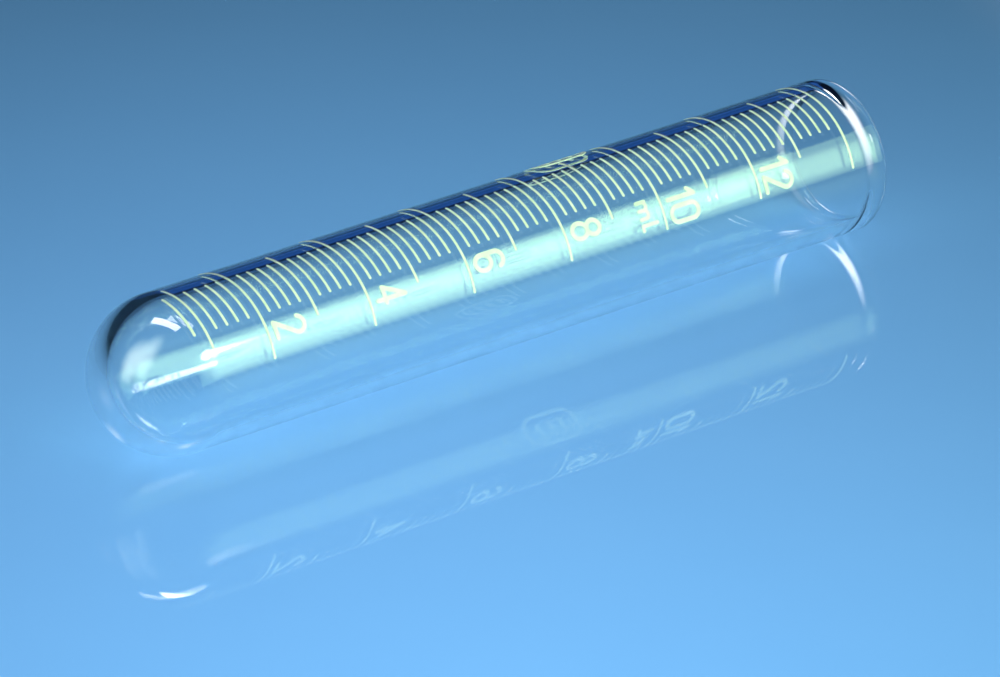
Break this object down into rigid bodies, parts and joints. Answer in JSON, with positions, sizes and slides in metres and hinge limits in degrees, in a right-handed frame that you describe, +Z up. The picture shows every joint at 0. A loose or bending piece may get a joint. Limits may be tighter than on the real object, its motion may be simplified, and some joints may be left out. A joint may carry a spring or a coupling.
{
  "type": "graduated test tube",
  "caption": "Round-bottom clear glass test tube with a fire-polished open mouth and a white fired-enamel volume scale with numerals.",
  "frame": {"origin": "under the middle of the tube's overall box, on the surface that the tube lies on", "axes": "+X along the tube's axis towards the open mouth, +Z up as the tube lies on its side, the scale turned towards -Y and up"},
  "size_m": [0.0966, 0.0164, 0.0166],
  "materials": {
    "clear_glass": "clear, polished",
    "scale_enamel": "satin fired enamel, warm white"
  },
  "bodies": {
    "root": {"glass_tube": "clear_glass", "back_panel_bar_1": "scale_enamel", "back_panel_bar_2": "scale_enamel", "back_panel_bar_3": "scale_enamel", "back_panel_frame": "scale_enamel", "numeral_10_tens": "scale_enamel", "numeral_10_units": "scale_enamel", "numeral_12_tens": "scale_enamel", "numeral_12_units": "scale_enamel", "numeral_2": "scale_enamel", "numeral_4": "scale_enamel", "numeral_6": "scale_enamel", "numeral_8": "scale_enamel", "scale_line_01_ml": "scale_enamel", "scale_line_02_ml": "scale_enamel", "scale_line_03_ml": "scale_enamel", "scale_line_04_ml": "scale_enamel", "scale_line_05_ml": "scale_enamel", "scale_line_06_ml": "scale_enamel", "scale_line_07_ml": "scale_enamel", "scale_line_08_ml": "scale_enamel", "scale_line_09_ml": "scale_enamel", "scale_line_10_ml": "scale_enamel", "scale_line_11_ml": "scale_enamel", "scale_line_12_ml": "scale_enamel", "scale_line_13_ml": "scale_enamel", "scale_line_14_ml": "scale_enamel", "unit_letter_l": "scale_enamel", "unit_letter_m": "scale_enamel"}
  },
  "joints": []
}
